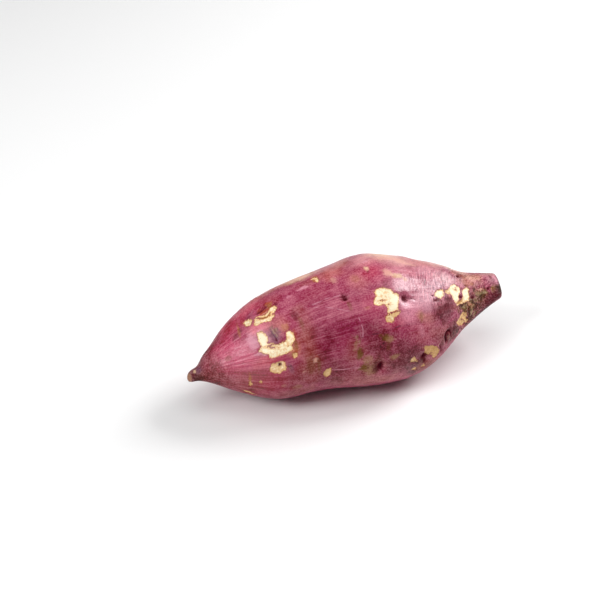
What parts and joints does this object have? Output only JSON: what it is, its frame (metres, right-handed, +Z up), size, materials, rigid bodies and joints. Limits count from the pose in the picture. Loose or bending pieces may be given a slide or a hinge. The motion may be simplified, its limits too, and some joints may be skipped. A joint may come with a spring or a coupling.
{
  "type": "purple sweet potato",
  "caption": "Whole raw sweet potato, a plump spindle with a thin root tip and a blunt stem neck, lying on its side.",
  "frame": {"origin": "on the surface that the root rests on, in the middle of its bounding box seen from above", "axes": "+X along the root from its thin tip to the stem neck, +Y to the back, +Z up"},
  "size_m": [0.1724, 0.0688, 0.0642],
  "materials": {
    "skin": "raw root skin, magenta purple with a soft waxy sheen, scuffed through to cream flesh in places"
  },
  "bodies": {
    "root": {"sweet_potato": "skin"}
  },
  "joints": []
}
